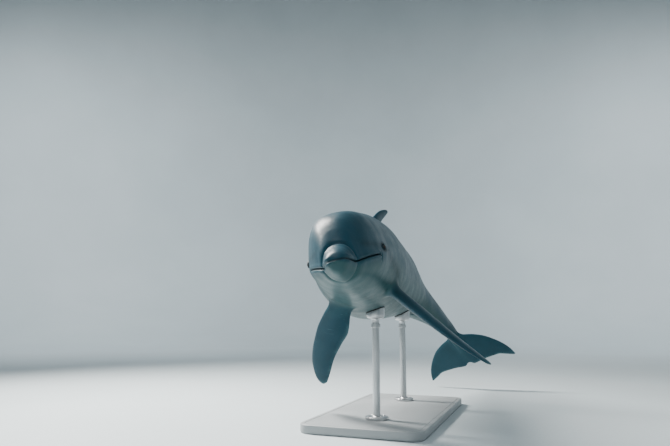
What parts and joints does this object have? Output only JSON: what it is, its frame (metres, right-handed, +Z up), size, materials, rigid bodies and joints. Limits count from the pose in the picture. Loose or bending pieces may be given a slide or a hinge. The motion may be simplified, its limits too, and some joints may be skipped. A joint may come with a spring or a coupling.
{
  "type": "bottlenose dolphin display model",
  "caption": "Life-size bottlenose dolphin swimming towards the viewer, banked with its tail bent down and aside, held on a flat base by upright rods",
  "frame": {"origin": "centre of the footprint of the whole model, on the floor under the stand", "axes": "+Z up; the animal heads towards -Y, its left side is towards +X; its length runs mostly along Y"},
  "size_m": [1.3199, 2.2816, 1.12],
  "materials": {
    "skin": "smooth satin skin, dark blue-grey above and a little paler below",
    "eye": "glossy, nearly black brown",
    "stand_base": "satin pale grey paint",
    "stand_rod": "satin brushed steel"
  },
  "bodies": {
    "root": {"beak_upper": "skin", "lower_jaw": "skin", "melon": "skin", "head": "skin", "neck": "skin", "chest": "skin", "trunk": "skin", "back": "skin", "tail_stock_front": "skin", "tail_stock_rear": "skin", "fluke_root": "skin", "fluke_left": "skin", "fluke_right": "skin", "dorsal_fin": "skin", "flipper_left": "skin", "flipper_right": "skin", "eye_left": "eye", "eye_right": "eye", "stand_base": "stand_base", "stand_rod_front": "stand_rod", "stand_rod_rear": "stand_rod"}
  },
  "joints": []
}
